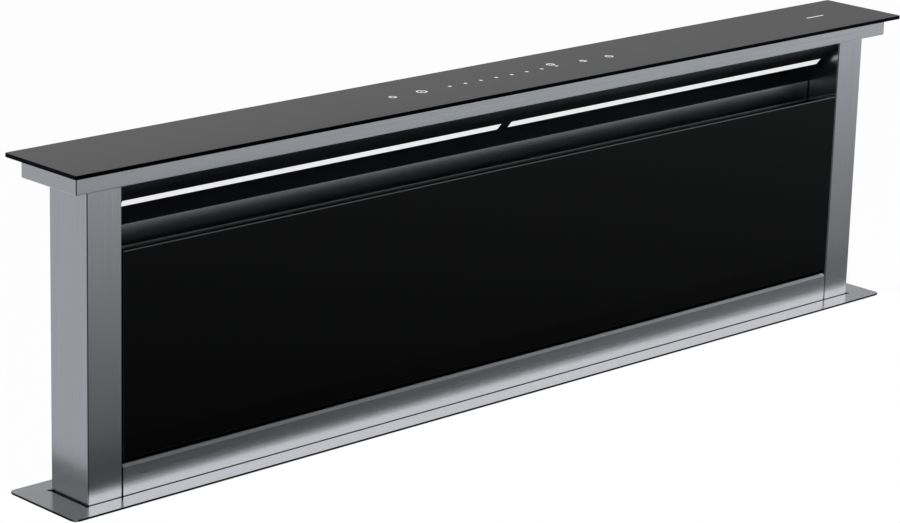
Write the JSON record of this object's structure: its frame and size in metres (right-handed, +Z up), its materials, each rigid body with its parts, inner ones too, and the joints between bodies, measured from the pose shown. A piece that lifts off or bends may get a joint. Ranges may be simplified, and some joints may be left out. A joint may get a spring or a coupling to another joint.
{
  "type": "downdraft vent",
  "caption": "Worktop downdraft vent whose glass-topped suction tower rises on racks from a slim chassis with a side-discharge blower.",
  "frame": {"origin": "centre of the flange seal on the worktop surface, in the middle of the slot", "axes": "+X along the long side to the right seen from the hob, +Y away from the hob, +Z up"},
  "size_m": [1.181, 0.28, 1.0553],
  "materials": {
    "brushed_stainless": "fine brushed stainless steel",
    "galvanised_sheet": "matte galvanised steel sheet",
    "black_glass": "polished black glass",
    "black_enamel": "satin black",
    "opal_plastic": "opal, lit from behind",
    "lamp_aluminium": "plain",
    "filter_aluminium": "brushed mesh",
    "circuit_board": "green solder mask",
    "seal_foam": "closed-cell foam",
    "machined_steel": "machined",
    "zinc_screws": "zinc plated",
    "slider_plastic": "natural acetal",
    "black_plastic": "moulded, satin",
    "die_cast": "die cast",
    "motor_casing": "black coated steel"
  },
  "bodies": {
    "chassis": {"blower_cover": "galvanised_sheet", "blower_motor": "motor_casing", "blower_scroll": "galvanised_sheet", "chassis_floor": "galvanised_sheet", "chassis_front_panel": "galvanised_sheet", "chassis_rear_panel": "galvanised_sheet", "chassis_screws": "zinc_screws", "chassis_side_left": "galvanised_sheet", "chassis_side_right": "galvanised_sheet", "clamp_screws": "machined_steel", "control_board": "circuit_board", "electronics_box": "galvanised_sheet", "electronics_cover": "galvanised_sheet", "flap_pin": "machined_steel", "foot_rail_left": "galvanised_sheet", "foot_rail_right": "galvanised_sheet", "guide_rail_left": "machined_steel", "guide_rail_right": "machined_steel", "inlet_ring": "galvanised_sheet", "lift_gearbox": "die_cast", "lift_motor": "motor_casing", "limit_switches": "black_plastic", "mains_gland": "black_plastic", "outlet_duct": "black_plastic", "shaft_bearing_left": "slider_plastic", "shaft_bearing_right": "slider_plastic", "worktop_clamps": "galvanised_sheet", "worktop_flange": "brushed_stainless", "worktop_seal": "seal_foam"},
    "tower": {"column_left": "brushed_stainless", "column_right": "brushed_stainless", "duct_side_left": "galvanised_sheet", "duct_side_right": "galvanised_sheet", "tower_rear_panel": "brushed_stainless", "lower_trim": "brushed_stainless", "top_tray": "brushed_stainless", "glass_top": "black_glass", "touch_board": "circuit_board", "led_fascia": "black_enamel", "led_diffuser_left": "opal_plastic", "led_diffuser_right": "opal_plastic", "led_boards": "lamp_aluminium", "air_baffle": "black_enamel", "grease_filter_left": "filter_aluminium", "grease_filter_right": "filter_aluminium", "panel_catches": "black_plastic", "tower_screws": "zinc_screws", "rack_left": "machined_steel", "rack_right": "machined_steel", "sliders_left": "slider_plastic", "sliders_right": "slider_plastic"},
    "front_panel": {"front_glass": "black_glass", "front_panel_frame": "galvanised_sheet", "panel_pins": "machined_steel"},
    "lift_shaft": {"sync_shaft": "machined_steel", "pinions": "machined_steel"},
    "rotor": {"impeller": "black_plastic", "motor_shaft": "machined_steel"},
    "rear_flap": {"flap_rear": "black_plastic"},
    "front_flap": {"flap_front": "black_plastic"}
  },
  "joints": [
    {"name": "tower_lift", "type": "slide", "parent": "chassis", "child": "tower", "axis": [0, 0, 1], "range_m": [-0.308, 0]},
    {"name": "panel_hinge", "type": "hinge", "parent": "tower", "child": "front_panel", "pos_m": [0, -0.0216, 0.0478], "axis": [1, 0, 0], "range_deg": [0, 75]},
    {"name": "lift_shaft_turn", "type": "hinge", "parent": "chassis", "child": "lift_shaft", "pos_m": [0, 0.006, -0.364], "axis": [1, 0, 0], "range_deg": [0, 1471]},
    {"name": "rotor_spin", "type": "hinge", "parent": "chassis", "child": "rotor", "pos_m": [0.18, -0.043, -0.56], "axis": [0, 1, 0], "continuous": true},
    {"name": "rear_flap_hinge", "type": "hinge", "parent": "chassis", "child": "rear_flap", "pos_m": [0.4075, -0.127, -0.45115], "axis": [0, 0, -1], "range_deg": [0, 80], "stiffness_Nm_per_rad": 0.02},
    {"name": "front_flap_hinge", "type": "hinge", "parent": "chassis", "child": "front_flap", "pos_m": [0.4075, -0.127, -0.45115], "axis": [0, 0, 1], "range_deg": [0, 80], "stiffness_Nm_per_rad": 0.02}
  ],
  "couplings": [
    {"joint": "lift_shaft_turn", "follows": "tower_lift", "rad_per_m": -83.333}
  ]
}
